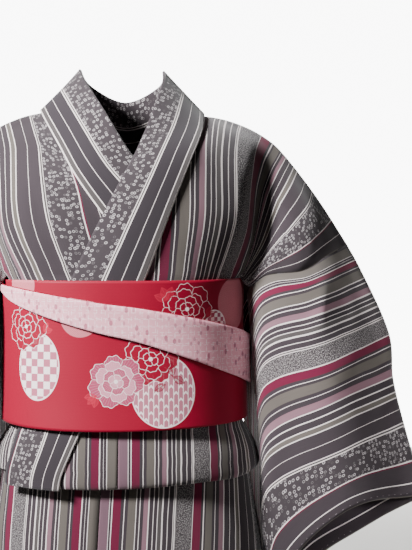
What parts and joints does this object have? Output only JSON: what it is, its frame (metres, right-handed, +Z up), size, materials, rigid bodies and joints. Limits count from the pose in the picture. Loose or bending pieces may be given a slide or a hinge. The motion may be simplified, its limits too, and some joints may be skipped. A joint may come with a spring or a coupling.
{
  "type": "kimono",
  "caption": "Striped kimono in its worn form with crossed collar, wide sleeves, waist tuck and a half-width belt tied in a bow at the back.",
  "frame": {"origin": "middle of the hollow at the level of the shoulder points, where the garment hangs on its wearer", "axes": "+Z up, the front faces -Y, the wearer's left is +X"},
  "size_m": [0.6832, 0.2493, 1.3287],
  "materials": {
    "kimono_cloth": "matt striped weave",
    "collar_cloth": "matt striped weave with small flowers",
    "obi_face": "soft satin weave, pale pink on the reverse"
  },
  "bodies": {
    "root": {"body_left": "kimono_cloth", "body_right": "kimono_cloth", "okumi_left": "kimono_cloth", "okumi_right": "kimono_cloth", "collar": "collar_cloth", "sleeve_left": "kimono_cloth", "sleeve_right": "kimono_cloth", "obi_first_wrap": "obi_face", "obi_second_wrap": "obi_face", "bow_wing_left": "obi_face", "bow_wing_right": "obi_face", "bow_knot": "obi_face"}
  },
  "joints": []
}
